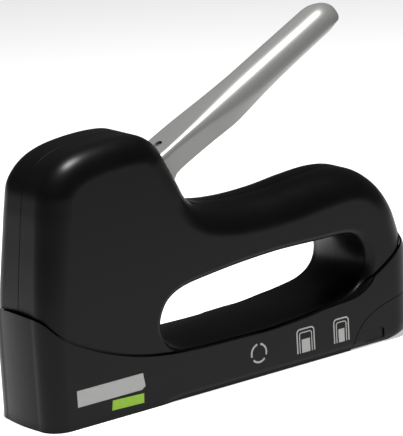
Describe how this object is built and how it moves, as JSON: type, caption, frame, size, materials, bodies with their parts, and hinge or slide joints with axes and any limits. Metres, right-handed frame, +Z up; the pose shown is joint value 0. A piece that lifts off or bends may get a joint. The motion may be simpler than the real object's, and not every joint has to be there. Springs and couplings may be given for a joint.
{
  "type": "staple gun",
  "caption": "Hand staple gun: two moulded half shells with a closed grip, a pressed steel squeeze lever, a sprung striker and a rear staple drawer.",
  "frame": {"origin": "Middle of the base plane, under the middle of the bounding box of the whole gun at rest", "axes": "+X from the nose to the tail, +Y to the gun's right side, +Z up from the base to the lever"},
  "size_m": [0.1676, 0.036, 0.1265],
  "materials": {
    "shell_plastic": "fine moulded texture, satin",
    "cap_plastic": "fine moulded texture, satin",
    "lever_paint": "silver grey paint, semi-gloss",
    "zinc_steel": "zinc plated sheet, satin",
    "hard_steel": "hardened and ground",
    "spring_steel": "drawn wire, oiled",
    "dark_steel": "black oxide",
    "inner_plastic": "plain moulded",
    "rubber": "matt"
  },
  "bodies": {
    "housing": {"housing_left": "shell_plastic", "housing_right": "shell_plastic", "housing_screws": "dark_steel", "striker_guide": "zinc_steel", "magazine_channel": "zinc_steel", "channel_rivets": "zinc_steel", "spring_cap": "inner_plastic", "recoil_bumper": "rubber", "lever_pin": "zinc_steel", "main_spring": "spring_steel", "magazine_catch": "spring_steel", "catch_screw": "dark_steel"},
    "lever": {"lever": "lever_paint", "lever_spring": "spring_steel", "hook_pin": "zinc_steel"},
    "hook": {"lift_hook": "hard_steel", "hook_spring": "spring_steel"},
    "striker": {"plunger": "dark_steel", "striker": "hard_steel", "striker_rivets": "zinc_steel", "plunger_pin": "hard_steel"},
    "magazine": {"magazine_cap": "cap_plastic", "staple_rail": "zinc_steel", "pusher_rod": "zinc_steel", "cap_pin": "zinc_steel"},
    "pusher": {"pusher": "zinc_steel", "pusher_spring": "spring_steel"}
  },
  "joints": [
    {"name": "lever_pivot", "type": "hinge", "parent": "housing", "child": "lever", "pos_m": [-0.0318, 0, 0.065], "axis": [0, 1, 0], "range_deg": [0, 27], "stiffness_Nm_per_rad": 1.2, "springref_deg": -14.32, "deforming": ["lever_spring"]},
    {"name": "hook_pivot", "type": "hinge", "parent": "lever", "child": "hook", "pos_m": [-0.05617, 0, 0.06841], "axis": [0, -1, 0], "range_deg": [0, 25], "stiffness_Nm_per_rad": 0.05, "springref_deg": -17.19, "deforming": ["hook_spring"]},
    {"name": "striker_slide", "type": "slide", "parent": "housing", "child": "striker", "axis": [0, 0, 1], "range_m": [0, 0.01225], "deforming": ["main_spring"]},
    {"name": "magazine_slide", "type": "slide", "parent": "housing", "child": "magazine", "axis": [1, 0, 0], "range_m": [0, 0.09], "deforming": ["magazine_catch"]},
    {"name": "pusher_slide", "type": "slide", "parent": "magazine", "child": "pusher", "axis": [1, 0, 0], "range_m": [0, 0.088], "stiffness_N_per_m": 20, "springref_m": -0.1, "deforming": ["pusher_spring"]}
  ],
  "couplings": [
    {"joint": "striker_slide", "follows": "lever_pivot", "m_per_rad": 0.025983}
  ]
}
